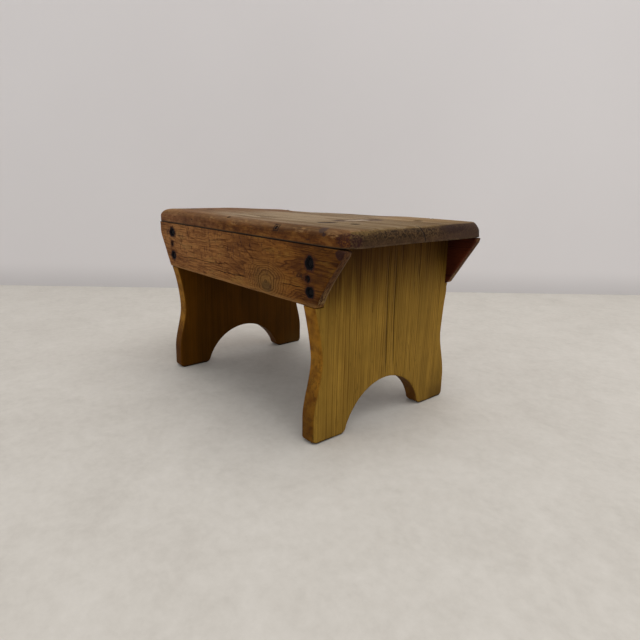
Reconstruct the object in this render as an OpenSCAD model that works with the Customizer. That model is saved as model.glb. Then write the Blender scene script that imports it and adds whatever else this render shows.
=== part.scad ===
// Low pine footstool: a thick worn top on two upright end boards, with a long
// apron let into the front and rear edges of the end boards and nailed there.
// X runs along the stool, Y across it and Z up. The origin lies on the floor,
// midway between the ends and midway between the front and rear faces.

/* [Overall] */
// Length of the top board
stool_length = 356.5; // [320:1:400]
// Reach of the top board past the left end board
left_overhang = 28; // [24:0.5:40]
// Reach of the top board past the right end board
right_overhang = 40.5; // [24:0.5:55]
// Front to rear over the faces of the aprons, and the width of the top
stool_depth = 200; // [180:1:230]
// Floor to the underside of the top board
seat_underside = 190.5; // [175:0.5:230]

/* [Top board] */
// Thickness of the top board in the middle
top_t = 16; // [13.5:0.5:24]
// How much lower the long edges of the top are worn than its middle
top_crown = 1.25; // [0.5:0.25:2.5]
// Width of the level middle of the top
top_level_w = 90; // [60:1:110]
// Radius of the worn upper edge
top_edge_r = 9; // [6:0.5:10]
// Radius of the lower edge
top_lower_r = 1.5; // [0.5:0.25:2.5]
// Radius of the two left corners seen from above
left_corner_r = 4.5; // [4:0.5:20]
// Radius of the two right corners seen from above
right_corner_r = 20; // [4:0.5:24]

/* [Aprons] */
// Thickness of both aprons, and depth of the notches that hold them
apron_t = 10; // [8.5:0.25:13]
// Height of the front apron
front_apron_h = 56; // [52:0.5:66]
// Height of the rear apron
rear_apron_h = 53.5; // [52:0.5:66]
// How far the left and right ends of the front apron stop short of the top
front_apron_short = [0, 6.5]; // [0:0.5:8]
// How far the left and right ends of the rear apron stop short of the top
rear_apron_short = [3, 7]; // [0:0.5:8]
// How far the left and right ends of the aprons stand out past the end boards at the shoulder
apron_end_out = [3, 1]; // [0:0.5:4]
// Height of the upright part of the apron ends under the top, left and right
apron_nose_h = [15, 5]; // [3:0.5:16]
// Radius of the lower corners of the aprons
apron_corner_r = 5; // [2:0.5:9]
// Radius that softens the edges of the aprons
apron_ease = 1.5; // [0.5:0.25:2]

/* [End boards] */
// Thickness of the end boards
leg_t = 17.5; // [14:0.5:24]
// How far the waist of an end board is cut in from the faces of the aprons
waist_in = 9; // [4:0.5:18]
// Height of the narrowest place of the waist above the floor
waist_z = 82; // [70:1:95]
// Height where the edge has come out to the full width of the feet
flare_z = 23; // [14:1:35]
// How far the feet stand out past the faces of the aprons
foot_out = 2; // [0:0.5:4]
// How far the rear shoulder stands in from the rear face
rear_shoulder_in = 4.5; // [0:0.5:7.5]
// Radius of the outer corners of the feet
foot_r = 6; // [4.5:0.25:10]
// Radius of the corners of the feet beside the arch
arch_foot_r = 8; // [4.5:0.25:12]
// Height of the arch in the right end board
right_arch_h = 46; // [30:0.5:60]
// Radius of the arch in the right end board
right_arch_r = 58; // [50:0.5:68]
// Height of the arch in the left end board
left_arch_h = 45; // [30:0.5:60]
// Radius of the arch in the left end board
left_arch_r = 60; // [50:0.5:68]
// Sideways place of the arch in the left end board
left_arch_shift = -2; // [-5:0.5:5]
// Radius that softens the free edges of the end boards
leg_ease = 2; // [1:0.25:4.25]

/* [Apron nails] */
// Heights of the nails at the right end above the lower edge of the apron
right_nail_up = [13.5, 25.5, 39.5]; // [10:0.5:42]
// Heights of the nails at the left end above the lower edge of the apron
left_nail_up = [15.5, 30, 44]; // [10:0.5:45]
// Sideways stray of the nails at the right end from the middle of the board
right_nail_stray = [0.5, -3, -0.5]; // [-4:0.5:4]
// Sideways stray of the nails at the left end from the middle of the board
left_nail_stray = [-1, -4, -2.5]; // [-4:0.5:4]
// Length of a large nail
large_nail_len = 38; // [30:1:42]
// Head diameter of a large nail
large_head_d = 9; // [7:0.25:10]
// Width of a large shank under its head
large_shank_w = 3.4; // [2.5:0.1:4]
// Diameter of the punched hollow round the head of a large nail
large_hollow_d = 11.5; // [10.5:0.25:12]
// Length of a small nail
small_nail_len = 28; // [20:1:34]
// Head diameter of a small nail
small_head_d = 4.5; // [3.5:0.25:5]
// Width of a small shank under its head
small_shank_w = 2; // [1.5:0.1:2.5]
// Diameter of the punched hollow round the head of a small nail
small_hollow_d = 5.5; // [5.25:0.25:6.5]
// How far the heads of the apron nails lie below the wood
side_sink = 0.8; // [0.3:0.1:1.2]
// Thickness of a nail head
head_t = 1.6; // [1:0.1:2]

/* [Top nails] */
// Length of a nail through the top
top_nail_len = 38; // [32:1:44]
// Head diameter of a nail through the top
top_head_d = 6; // [4.5:0.25:6.5]
// Width of a top nail's shank under its head
top_shank_w = 3; // [2:0.1:3.5]
// Diameter of the punched hollow round the head of a top nail
top_hollow_d = 7.5; // [7:0.25:9]
// Distance of the edge nails in from the front and rear faces
edge_nail_in = 5.5; // [4.5:0.25:6.5]
// How far the heads of the edge nails lie below the worn edge
edge_sink = 1.6; // [1.2:0.1:2]
// How far the heads of the nails into the end boards lie below the wood
top_sink = 0.6; // [0.3:0.1:1.2]
// Distance of the outermost edge nails past the outer face of the end board
nail_past_leg = 9; // [6:0.5:10]
// Distance of the first front nail in from the outer face of the left end board
front_nail_in = 67; // [40:1:80]
// How far the third front nail strays to the right of its even place
third_nail_stray = 6; // [0:0.5:12]
// Distance of the last rear nail in from the outer face of the right end board
rear_nail_in = 27; // [26:0.5:40]
// Distance of the nails into the end boards to either side of the middle
board_nail_y = 46; // [25:1:50]

/* [Hidden] */

half_len = stool_length / 2;
half_depth = stool_depth / 2;
top_face = seat_underside + top_t;
// Outer faces and middles of the two end boards
left_out = left_overhang - half_len;
right_out = half_len - right_overhang;
left_mid = left_out + leg_t / 2;
right_mid = right_out - leg_t / 2;
// Lower edges of the aprons, which rest on the shoulders of the end boards
front_shoulder = seat_underside - front_apron_h;
rear_shoulder = seat_underside - rear_apron_h;
apron_in = half_depth - apron_t;

// A shank is thinner than it is wide, and narrows to a blunt point
shank_ratio = 0.7;
point_ratio = 0.45;
// A head is narrower on its crown and underneath than at its rim
crown_ratio = 0.55;
under_ratio = 0.9;
crown_h = 0.5;
// How far a punched hollow is cut past the face of the wood
clear = 5;
// Angles in degrees
half_turn = 180;
full_turn = 360;
// Shares of the easing that the soles of the feet and the shoulders get
sole_ease = 0.3;
shoulder_ease = 0.4;
// How the edge of an end board sweeps from its waist to its shoulder
sweep_power = 1.6;
// Share of the upright part of an apron end that its rounding takes
nose_blend = 0.8;
// Smallest radius left on a corner that has stepped in
least_r = 0.5;
// Segments in an eased edge, a corner, half a waist, an arch and an end of the top
ease_steps = 3;
corner_steps = 5;
curve_steps = 8;
arch_steps = 22;
edge_steps = 6;
end_steps = 8;

// Points of an arc about c, from angle a0 to angle a1
function arc(c, r, a0, a1, steps) =
    [for (k = [0:steps])
        let (a = a0 + (a1 - a0) * k / steps)
        c + r * [cos(a), sin(a)]];

function unit(v) = v / norm(v);

// Points that round a corner p of an outline with radius r
function rounded(before, p, after, r) =
    let (u = unit(before - p),
         v = unit(after - p),
         half = acos(u * v) / 2,
         c = p + unit(u + v) * r / sin(half),
         start = p + u * r / tan(half) - c,
         a0 = atan2(start.y, start.x))
    arc(c, r, a0, a0 + half_turn - 2 * half, corner_steps);

// Points that round a corner p of an outline over a length of both its sides
function blended(before, p, after, len) =
    rounded(before, p, after, len * tan(acos(unit(before - p) * unit(after - p)) / 2));

// Closed solid through a stack of rings, each with the same number of points. The
// faces of its first cap are given as lists of points, and it ends in the same ones.
module ring_solid(rings, cap) {
    n = len(rings[0]);
    last = len(rings) - 1;
    sides = [for (k = [0:last - 1], i = [0:n - 1])
        let (j = (i + 1) % n)
        each [[k * n + i, (k + 1) * n + i, (k + 1) * n + j],
              [k * n + i, (k + 1) * n + j, k * n + j]]];
    last_cap = [for (face = cap) [for (i = reversed(face)) last * n + i]];
    polyhedron(points = [for (r = rings) each r], faces = concat(cap, sides, last_cap));
}

// Cap of a ring that bulges outwards all the way round
function plain_cap(ring) = [[for (i = [0:len(ring) - 1]) i]];

// Board of even thickness with rounded edges. outline gives its ring of points
// in X and Y, stepped in by a distance, and the board rises from z = 0 to thick.
module eased_board(outline, thick, r, cap) {
    low = [for (k = [0:ease_steps])
        let (a = 90 * k / ease_steps)
        [r * (1 - sin(a)), r * (1 - cos(a))]];
    high = [for (k = [ease_steps:-1:0]) [low[k].x, thick - low[k].y]];
    ring_solid([for (level = concat(low, high))
        [for (p = outline(level.x)) [p.x, p.y, level.y]]], cap);
}

// Height of the upper face of the top at a distance y from its middle
function crown_z(y) =
    let (t = max(0, (abs(y) - top_level_w / 2) / (half_depth - top_level_w / 2)))
    top_face - top_crown * t * t;

// How far the worn upper edge has dropped at a distance in from the edge
function edge_drop(inset) =
    inset >= top_edge_r ? 0
                        : top_edge_r - sqrt(pow(top_edge_r, 2) - pow(top_edge_r - inset, 2));

// Points between p and q, without the two ends
function between(p, q, steps) = [for (k = [1:steps - 1]) p + (q - p) * k / steps];

// Outline of the top seen from above, stepped in from its edge
function top_outline(inset) =
    let (x = half_len - inset,
         y = half_depth - inset,
         right_r = max(right_corner_r - inset, least_r),
         left_r = max(left_corner_r - inset, least_r),
         right_cx = x - right_r,
         left_cx = left_r - x)
    concat(
        arc([right_cx, right_r - y], right_r, -90, 0, corner_steps),
        between([x, right_r - y], [x, y - right_r], end_steps),
        arc([right_cx, y - right_r], right_r, 0, 90, corner_steps),
        arc([left_cx, y - left_r], left_r, 90, 180, corner_steps),
        between([-x, y - left_r], [-x, left_r - y], end_steps),
        arc([left_cx, left_r - y], left_r, 180, 270, corner_steps));

function flat_ring(inset, z) = [for (p = top_outline(inset)) [p.x, p.y, z]];

function crown_ring(inset) =
    [for (p = top_outline(inset)) [p.x, p.y, crown_z(p.y) - edge_drop(inset)]];

module top_blank() {
    level_inset = half_depth - top_level_w / 2;
    lower = [for (k = [0:ease_steps])
        let (a = 90 * k / ease_steps)
        flat_ring(top_lower_r * (1 - sin(a)), seat_underside + top_lower_r * (1 - cos(a)))];
    upper = [for (k = [0:edge_steps]) crown_ring(top_edge_r * (1 - cos(90 * k / edge_steps)))];
    inner = [for (k = [1:ease_steps])
        crown_ring(top_edge_r + (level_inset - top_edge_r) * k / ease_steps)];
    ring_solid(concat(lower, upper, inner), plain_cap(lower[0]));
}

// Free edge of an end board on the side of positive Y, from the shoulder to the foot,
// stepped in. It sweeps in to the waist and swings out again to the foot.
function waist_edge(inset, shoulder) =
    let (waist = half_depth - waist_in)
    concat(
        [for (k = [0:curve_steps])
            let (t = 1 - k / curve_steps,
                 eased = inset * (1 - (1 - shoulder_ease) * t * t * t))
            [waist - eased + (shoulder.x - waist) * pow(t, sweep_power),
             waist_z + (shoulder.y - waist_z) * t]],
        [for (k = [1:curve_steps])
            let (t = k / curve_steps,
                 swing = (1 - cos(half_turn * t)) / 2)
            [waist - inset + (waist_in + foot_out) * swing, waist_z + (flare_z - waist_z) * t]]);

// Round corner of a foot, from angle a0 to angle a1. Its steps inwards are in0
// at the first point and in1 at the last.
function foot_corner(c, r, a0, a1, in0, in1) =
    [for (k = [0:corner_steps])
        let (t = k / corner_steps,
             a = a0 + (a1 - a0) * t)
        c + (r - in0 - (in1 - in0) * t) * [cos(a), sin(a)]];

// Middle of the round corner between the foot and the arch
function arch_foot_c(arch_h, arch_r) =
    let (up = arch_foot_r + arch_r - arch_h)
    [sqrt(pow(arch_r + arch_foot_r, 2) - up * up), arch_foot_r];

// Both corners of one foot, from its outer side to the start of the arch
function foot_edge(inset, arch_h, arch_r, shift) =
    let (c = arch_foot_c(arch_h, arch_r),
         lean = atan2(arch_h - arch_r - c.y, -c.x),
         sole = inset * sole_ease)
    concat(
        foot_corner([half_depth + foot_out - foot_r, foot_r], foot_r, 0, -90, inset, sole),
        foot_corner(c + [shift, 0], arch_foot_r, -90, lean > 0 ? lean - full_turn : lean,
                    sole, inset));

// The arch itself, from the front foot to the rear foot
function arch_edge(inset, arch_h, arch_r, shift) =
    let (c = arch_foot_c(arch_h, arch_r),
         start = atan2(c.y + arch_r - arch_h, c.x),
         all = arc([shift, arch_h - arch_r], arch_r + inset, half_turn - start, start, arch_steps))
    [for (k = [1:arch_steps - 1]) all[k]];

function mirrored(pts) = [for (p = pts) [-p.x, p.y]];

function reversed(pts) = [for (i = [len(pts) - 1:-1:0]) pts[i]];

// Whole outline of an end board, with Y to the right and Z up, from the front
// shoulder down by the feet to the rear shoulder, and round the top between the
// notches. Only its free edges step in.
function leg_outline(inset, arch_h, arch_r, shift) =
    concat(
        mirrored(waist_edge(inset, [half_depth, front_shoulder])),
        mirrored(foot_edge(inset, arch_h, arch_r, -shift)),
        arch_edge(inset, arch_h, arch_r, shift),
        reversed(foot_edge(inset, arch_h, arch_r, shift)),
        reversed(waist_edge(inset, [half_depth - rear_shoulder_in, rear_shoulder])),
        [[apron_in, rear_shoulder], [apron_in, seat_underside],
         [-apron_in, seat_underside], [-apron_in, front_shoulder]]);

// Triangles that fill the outline of an end board. The apex of the arch sees the
// notches and both waists, and from there down each edge is tied to the arch.
function leg_cap() =
    let (foot = 2 * curve_steps + 1,
         sole = foot + corner_steps,
         apex = foot + 2 * corner_steps + 1 + arch_steps / 2,
         last = 2 * apex,
         tied = 2 * sole + 1 - apex)
    concat(
        [for (i = [0:tied - 1]) each [[i, i + 1, apex], [apex, last - i - 1, last - i]]],
        [for (i = [tied:sole - 1])
            let (j = apex + tied - i)
            each [[i, i + 1, j - 1], [i, j - 1, j],
                  [last - i, last - j, last - j + 1], [last - i, last - j + 1, last - i - 1]]],
        [for (i = [last:last + 3]) [apex, i, i + 1]],
        [[apex, last + 4, 0]]);

// Corners of one end of an apron, stepped in, from the lowest up. Distances are
// measured outwards from the middle of the stool: reach to the upright part under
// the top, and foot to the lower corner.
function apron_end(inset, reach, foot, nose_h, shoulder) =
    let (rise = seat_underside - nose_h - shoulder,
         run = reach - foot,
         step = inset * norm([run, rise]) / rise)
    [[foot - step + inset * run / rise, shoulder + inset],
     [reach - inset, shoulder + (run - inset + step) * rise / run],
     [reach - inset, seat_underside]];

// Outline of an apron, with X to the right and Z up. Its ends slant in to the end
// boards, and all its edges step in but the one under the top board.
function apron_outline(inset, short, shoulder) =
    let (left = mirrored(apron_end(inset, half_len - short[0], apron_end_out[0] - left_out,
                                   apron_nose_h[0], shoulder)),
         right = apron_end(inset, half_len - short[1], apron_end_out[1] + right_out,
                           apron_nose_h[1], shoulder),
         r = max(apron_corner_r - inset, least_r))
    concat(
        rounded(left[1], left[0], right[0], r),
        rounded(left[0], right[0], right[1], r),
        blended(right[0], right[1], right[2], nose_blend * apron_nose_h[1]),
        [right[2], left[2]],
        blended(left[2], left[1], left[0], nose_blend * apron_nose_h[0]));

// Shank of even thickness along -Z, from inside the head to its blunt point
module shank(len, w) {
    tip = w * point_ratio / 2;
    rotate([90, 0, 0])
        linear_extrude(w * shank_ratio, center = true)
            polygon([[-w / 2, -head_t / 2], [-tip, -len], [tip, -len], [w / 2, -head_t / 2]]);
}

// Cut nail along -Z, with the crown of its head at z = 0
module nail(len, head_d, shank_w) {
    rim = head_d / 2;
    rotate_extrude($fn = 32)
        polygon([[0, 0], [0, -head_t], [rim * under_ratio, -head_t], [rim, -crown_h],
                 [rim * crown_ratio, 0]]);
    shank(len, shank_w);
}

// What a nail takes out of the wood: its punched hollow and the hole of its shank
module nail_room(len, hollow_d, shank_w) {
    translate([0, 0, -head_t]) cylinder(d = hollow_d, h = head_t + clear, $fn = 40);
    shank(len, shank_w);
}

// Places in X and Z of the nails numbered in picks. The rear has the same
// pattern as the front, turned half round, so its ends change places.
function side_spots(picks, shoulder, turn) =
    let (first = turn > 0 ? right_mid : left_mid,
         second = turn > 0 ? left_mid : right_mid)
    [for (i = picks) each [
        [first + turn * right_nail_stray[i], shoulder + right_nail_up[i]],
        [second + turn * left_nail_stray[i], shoulder + left_nail_up[i]]]];

// Sets its children into the front face (turn = 1) or the rear face (turn = -1)
module in_face(spots, turn) {
    for (s = spots)
        translate([s.x, turn * (side_sink - half_depth), s.y])
            rotate([turn * 90, 0, 0])
                children();
}

large_picks = [0, 2];
small_picks = [1];
front_large = side_spots(large_picks, front_shoulder, 1);
front_small = side_spots(small_picks, front_shoulder, 1);
rear_large = side_spots(large_picks, rear_shoulder, -1);
rear_small = side_spots(small_picks, rear_shoulder, -1);

// Places of the nails through the top, evenly spaced but for one that strays
edge_count = 4;
edge_y = half_depth - edge_nail_in;
edge_z = crown_z(edge_y) - edge_drop(edge_nail_in) - edge_sink;
front_first = left_out + front_nail_in;
front_pitch = (right_out + nail_past_leg - front_first) / (edge_count - 1);
rear_first = left_out - nail_past_leg;
rear_pitch = (right_out - rear_nail_in - rear_first) / (edge_count - 1);
front_spots = [for (i = [0:edge_count - 1])
    [front_first + i * front_pitch + (i == 2 ? third_nail_stray : 0), -edge_y, edge_z]];
rear_spots = [for (i = [0:edge_count - 1]) [rear_first + i * rear_pitch, edge_y, edge_z]];
board_spots = [for (x = [left_mid, right_mid], side = [-1, 1])
    [x, side * board_nail_y, crown_z(board_nail_y) - top_sink]];

// Rooms of the nails through the front or rear apron into the end boards
module side_rooms(large, small, turn) {
    in_face(large, turn) nail_room(large_nail_len, large_hollow_d, large_shank_w);
    in_face(small, turn) nail_room(small_nail_len, small_hollow_d, small_shank_w);
}

// Rooms of the nails through the top board
module top_rooms(spots) {
    for (s = spots) translate(s) nail_room(top_nail_len, top_hollow_d, top_shank_w);
}

module top_nails(spots) {
    for (s = spots) translate(s) nail(top_nail_len, top_head_d, top_shank_w);
}

module top_board() {
    color("#8a6f4e")
    difference() {
        top_blank();
        top_rooms(concat(front_spots, rear_spots, board_spots));
    }
}

module apron(short, shoulder) {
    outline = function(inset) apron_outline(inset, short, shoulder);
    eased_board(outline, apron_t, apron_ease, plain_cap(outline(0)));
}

module front_apron() {
    color("#9a6a38")
    difference() {
        translate([0, -apron_in, 0])
            rotate([90, 0, 0])
                apron(front_apron_short, front_shoulder);
        side_rooms(front_large, front_small, 1);
        top_rooms(front_spots);
    }
}

module rear_apron() {
    color("#8f6234")
    difference() {
        translate([0, half_depth, 0])
            rotate([90, 0, 0])
                apron(rear_apron_short, rear_shoulder);
        side_rooms(rear_large, rear_small, -1);
        top_rooms(rear_spots);
    }
}

// End board whose left face lies at x
module end_board(x, arch_h, arch_r, shift) {
    difference() {
        translate([x, 0, 0])
            rotate([90, 0, 90])
                eased_board(function(inset) leg_outline(inset, arch_h, arch_r, shift),
                            leg_t, leg_ease, leg_cap());
        side_rooms(front_large, front_small, 1);
        side_rooms(rear_large, rear_small, -1);
        top_rooms(board_spots);
    }
}

module left_leg() {
    color("#8a6a2c") end_board(left_out, left_arch_h, left_arch_r, left_arch_shift);
}

module right_leg() {
    color("#94722f") end_board(right_out - leg_t, right_arch_h, right_arch_r, 0);
}

module front_apron_nails() {
    color("#2b2a2e") in_face(front_large, 1) nail(large_nail_len, large_head_d, large_shank_w);
}

module rear_apron_nails() {
    color("#2b2a2e") in_face(rear_large, -1) nail(large_nail_len, large_head_d, large_shank_w);
}

module front_apron_brads() {
    color("#2b2a2e") in_face(front_small, 1) nail(small_nail_len, small_head_d, small_shank_w);
}

module rear_apron_brads() {
    color("#2b2a2e") in_face(rear_small, -1) nail(small_nail_len, small_head_d, small_shank_w);
}

module top_front_nails() {
    color("#2b2a2e") top_nails(front_spots);
}

module top_rear_nails() {
    color("#2b2a2e") top_nails(rear_spots);
}

module top_leg_nails() {
    color("#2b2a2e") top_nails(board_spots);
}

top_board();
front_apron();
rear_apron();
left_leg();
right_leg();
front_apron_nails();
rear_apron_nails();
front_apron_brads();
rear_apron_brads();
top_front_nails();
top_rear_nails();
top_leg_nails();
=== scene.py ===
"""Looks of a low pine footstool: worn boards with grain, rusted nails, a pale floor, soft light.

Sizes are in millimetres until a mesh is made. X runs along the stool, Y to the rear and Z up.
"""

import math

import bpy
import numpy as np
from mathutils import Matrix, Vector
from mathutils.geometry import delaunay_2d_cdt


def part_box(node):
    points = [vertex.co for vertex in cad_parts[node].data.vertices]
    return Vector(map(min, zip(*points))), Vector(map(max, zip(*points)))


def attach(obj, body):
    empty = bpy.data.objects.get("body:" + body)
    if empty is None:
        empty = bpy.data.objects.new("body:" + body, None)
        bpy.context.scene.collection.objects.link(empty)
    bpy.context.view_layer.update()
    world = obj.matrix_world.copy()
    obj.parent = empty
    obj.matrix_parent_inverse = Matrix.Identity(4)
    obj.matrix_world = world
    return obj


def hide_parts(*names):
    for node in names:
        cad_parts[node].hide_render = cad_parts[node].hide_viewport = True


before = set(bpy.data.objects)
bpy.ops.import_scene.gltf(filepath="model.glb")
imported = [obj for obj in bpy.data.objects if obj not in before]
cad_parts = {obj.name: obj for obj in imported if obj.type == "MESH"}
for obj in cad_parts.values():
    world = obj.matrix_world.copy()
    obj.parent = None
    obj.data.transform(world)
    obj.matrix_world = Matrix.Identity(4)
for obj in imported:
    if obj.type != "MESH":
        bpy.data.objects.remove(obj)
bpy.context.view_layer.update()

MM = 0.001
# Step of the mesh round a nail, and number of points that are compared with others at a time
FINE_STEP = 0.7
BATCH = 2000


def node_box(name):
    """Lowest and highest corner of a CAD node in millimetres."""
    return tuple(np.array(corner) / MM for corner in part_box(name))


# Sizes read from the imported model
TOP_LOW, TOP_HIGH = node_box("top_board")
FRONT_LOW, FRONT_HIGH = node_box("front_apron")
REAR_LOW, REAR_HIGH = node_box("rear_apron")
LEFT_LOW, _ = node_box("left_leg")
RIGHT_LOW, RIGHT_HIGH = node_box("right_leg")
HALF_LEN = TOP_HIGH[0]
HALF_DEPTH = TOP_HIGH[1]
UNDERSIDE = TOP_LOW[2]
TOP_FACE = TOP_HIGH[2]
TOP_T = TOP_FACE - UNDERSIDE
APRON_T = FRONT_HIGH[1] - FRONT_LOW[1]
APRON_IN = HALF_DEPTH - APRON_T
LEFT_OUT = LEFT_LOW[0]
RIGHT_OUT = RIGHT_HIGH[0]
LEG_T = RIGHT_HIGH[0] - RIGHT_LOW[0]
LEFT_MID = LEFT_OUT + LEG_T / 2
RIGHT_MID = RIGHT_OUT - LEG_T / 2
FRONT_SHOULDER = FRONT_LOW[2]
REAR_SHOULDER = REAR_LOW[2]

# Sizes of the worn top
LEVEL_HALF = 45.0
CROWN = 1.25
EDGE_R = 9.0
LOWER_R = 0.5
TOP_STEP = 2.6
TOP_WEAR = 0.8
TOP_RELIEF = 0.2
LEFT_CORNER_R = 4.5
RIGHT_CORNER_R = 20.0
# How far the left half has sunk along the rear edge, and the right half risen
REAR_X = (-176.0, -140.0, -99.0, -60.0, -20.0, 20.0, 40.0, 60.0, 100.0, 178.0)
REAR_SHIFT = (-2.8, -4.0, -3.6, -2.3, -1.3, -0.9, -0.5, 0.4, 1.7, 2.2)
# How far the right end of the underside has lifted: at its corners, in its middle, at the rear
LIFT_CORNER = 0.3
LIFT_MIDDLE = 1.0
LIFT_REAR = 0.9
# Cuts in the top: points in X and Y, half width and depth
TOP_CUTS = [
    ([(103.6, -57.6), (108.0, -53.0), (115.2, -47.0)], 1.3, 1.6),
    ([(95.0, -32.0), (92.0, -9.5), (95.5, 17.7)], 0.8, 0.7),
    ([(-60.0, -38.0), (-31.0, -36.5), (4.0, -37.5)], 0.7, 0.6),
]

# Sizes of the aprons
APRON_STEP = 3.0
APRON_WEAR = 0.6
APRON_RELIEF = 0.22
APRON_EASE = 1.5
NOSE_Z = 175.6
NOSE_R = 14.0
SEAM_GAP = 0.3
CRACK_HALF = 0.45
CRACK_DEPTH = 0.8
# Cracks along the grain of the front apron as points in X and Z
APRON_CRACKS = [
    [(-134.0, 150.6), (-116.7, 150.4), (-91.8, 152.2), (-57.3, 152.1), (-15.4, 154.3)],
    [(-40.5, 146.2), (-15.8, 145.4), (5.5, 146.0), (27.5, 147.2)],
    [(87.6, 149.9), (99.8, 150.9), (109.2, 150.6), (117.5, 151.6)],
]

# Sizes of the end boards
LEG_STEP = 4.5
LEG_WEAR = 0.6
LEG_RELIEF = 0.15
WAIST_IN = 9.0
WAIST_Z = 82.0
FLARE_Z = 23.0
REAR_SHOULDER_IN = 4.5
FOOT_R = 6.0
ARCH_FOOT_R = 8.0
LEG_EASE = 5.0
LEFT_EASE = 3.2
SOLE_SHARE = 0.3
SHOULDER_SHARE = 0.4
# Height, radius and shift of the arch, depth of the front waist, how far the front and rear
# feet stand out past the aprons, and how the front and rear edges sweep up to the shoulder
RIGHT_SHAPE = {"arch": (46.0, 58.0, 0.0), "waist": WAIST_IN, "out": (0.3, 1.9),
               "sweep": (1.25, 1.3)}
LEFT_SHAPE = {"arch": (43.6, 60.0, -1.4), "waist": 7.9, "out": (2.0, 1.2), "sweep": (1.8, 1.6)}
# Half width of the dark lines on the right end board, and the depth of the first two and the others
LINE_HALF = 1.0
DEEP_LINE = 0.6
FINE_LINE = 0.28
# Those lines as points in Y and Z
LEG_LINES = [
    [(-5.0, 188.0), (-5.3, 155.1), (-3.6, 118.3), (-3.1, 89.9), (-1.2, 49.5)],
    [(6.2, 184.0), (6.9, 153.9), (6.6, 126.2), (7.7, 97.6), (10.3, 49.0)],
    [(2.6, 128.0), (3.2, 110.0), (4.4, 92.0)],
    [(-18.6, 187.0), (-18.0, 172.0), (-17.2, 158.0)],
    [(41.9, 166.0), (43.5, 150.0), (45.7, 128.0)],
    [(36.5, 146.0), (38.1, 129.0)],
    [(32.6, 79.0), (36.5, 64.0), (38.4, 42.0)],
    [(-26.9, 132.0), (-26.0, 119.0)],
    [(15.0, 188.0), (15.6, 176.0), (15.2, 162.0)],
]

# Places of the nails in X and Z on the aprons, and in X and Y on the top
FRONT_LARGE = [(RIGHT_MID + 0.5, FRONT_SHOULDER + 13.5), (RIGHT_MID - 0.5, FRONT_SHOULDER + 39.5),
               (LEFT_MID - 1.0, FRONT_SHOULDER + 15.5), (LEFT_MID - 2.5, FRONT_SHOULDER + 44.0)]
FRONT_SMALL = [(RIGHT_MID - 3.0, FRONT_SHOULDER + 25.5), (LEFT_MID - 4.0, FRONT_SHOULDER + 30.0)]
# Half the width and half the height of the holes at the large nails, and their depth
NAIL_HOLES = [(4.7, 4.1), (5.0, 5.0), (5.3, 4.1), (5.9, 4.3)]
NAIL_HOLE_DEPTH = 2.3
# Radius and depth of the other holes: at the small nails, and in the top at the nails into the
# end boards and into the rear apron
BRAD_HOLE = (3.3, 1.9)
BOARD_HOLE = (3.9, 1.5)
REAR_HOLE = (3.4, 0.8)
REAR_LARGE = [(LEFT_MID - 0.5, REAR_SHOULDER + 13.5), (LEFT_MID + 0.5, REAR_SHOULDER + 39.5),
              (RIGHT_MID + 1.0, REAR_SHOULDER + 15.5), (RIGHT_MID + 2.5, REAR_SHOULDER + 44.0)]
REAR_SMALL = [(LEFT_MID + 3.0, REAR_SHOULDER + 25.5), (RIGHT_MID + 4.0, REAR_SHOULDER + 30.0)]
EDGE_NAIL_Y = HALF_DEPTH - 5.5
FRONT_EDGE = [(-83.3, -EDGE_NAIL_Y), (-12.0, -EDGE_NAIL_Y), (76.2, -97.0), (143.5, -95.8)]
# Where the ring round the third one shows on the worn edge
RING_AT = (77.0, -98.4)
# Open holes over two of these nails: number, place, radius and depth; the others are closed
FRONT_HOLES = [(1, (-16.5, -92.6), 2.2, 1.0), (2, (77.0, -98.4), 1.5, 1.8)]
REAR_EDGE = [(x, EDGE_NAIL_Y) for x in (-159.3, -69.3, 20.7, 110.7)]
BOARD_NAILS = [(x, y) for x in (LEFT_MID, RIGHT_MID) for y in (-46.0, 46.0)]
# How deep the crowns lie, on the aprons, at the front edge of the top and over the end boards, and
# how far those at the rear edge stand out
SIDE_SINK = 1.4
EDGE_SINK = 1.6
BOARD_SINK = 0.6
REAR_PROUD = 0.5
# Length, width of the head and width of the shank of each kind of nail
LARGE_NAIL = (38, 7.2, 3.4)
SMALL_NAIL = (28, 4.2, 2)
EDGE_NAIL = (38, 5, 3)
TOP_NAIL = (38, 5.6, 3)

# Large numbers that scatter the cells of the noise, and the lowest 32 bits
SCATTER = np.array((374761393, 668265263, 1440662683))
SEED_SCATTER = 974634777
MIX = 1274126177
BITS = 0xFFFFFFFF


def lattice_noise(points, seed):
    """Smooth noise from 0 to 1 at an (n, 3) array of points, on cells of size 1."""
    cell = np.floor(points).astype(np.int64)
    part = points - cell
    part = part * part * (3 - 2 * part)
    total = np.zeros(len(points))
    for corner in np.ndindex(2, 2, 2):
        k = cell + np.array(corner)
        h = k @ SCATTER + seed * SEED_SCATTER & BITS
        h = (h ^ (h >> 13)) * MIX & BITS
        h = (h ^ (h >> 16)) / BITS
        total += h * np.prod(np.where(np.array(corner) > 0, part, 1 - part), axis=1)
    return total


def rough_noise(points, period, seed, octaves=3):
    """Noise of several octaves, about from -1 to 1. period is in millimetres, one number or one
    for each axis."""
    at = points / np.array(period, float)
    total, weight, size = np.zeros(len(points)), 0.0, 1.0
    for k in range(octaves):
        total += size * (2 * lattice_noise(at * 2**k + 17.3 * k, seed + k) - 1)
        weight += size
        size *= 0.5
    return total / weight


def wear_noise(points, period, seed):
    """The same noise from about 0 to 1."""
    return 0.5 + 0.5 * rough_noise(points, period, seed)


def joined(rows, value):
    """Rows of numbers with one more column: one value for all the rows or one for each."""
    return np.column_stack([rows, np.broadcast_to(value, len(rows))])


def fade(x, start, end):
    """Goes smoothly from 0 at start to 1 at end, which may be the lower one."""
    t = np.clip((x - start) / (end - start), 0, 1)
    return t * t * (3 - 2 * t)


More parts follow.
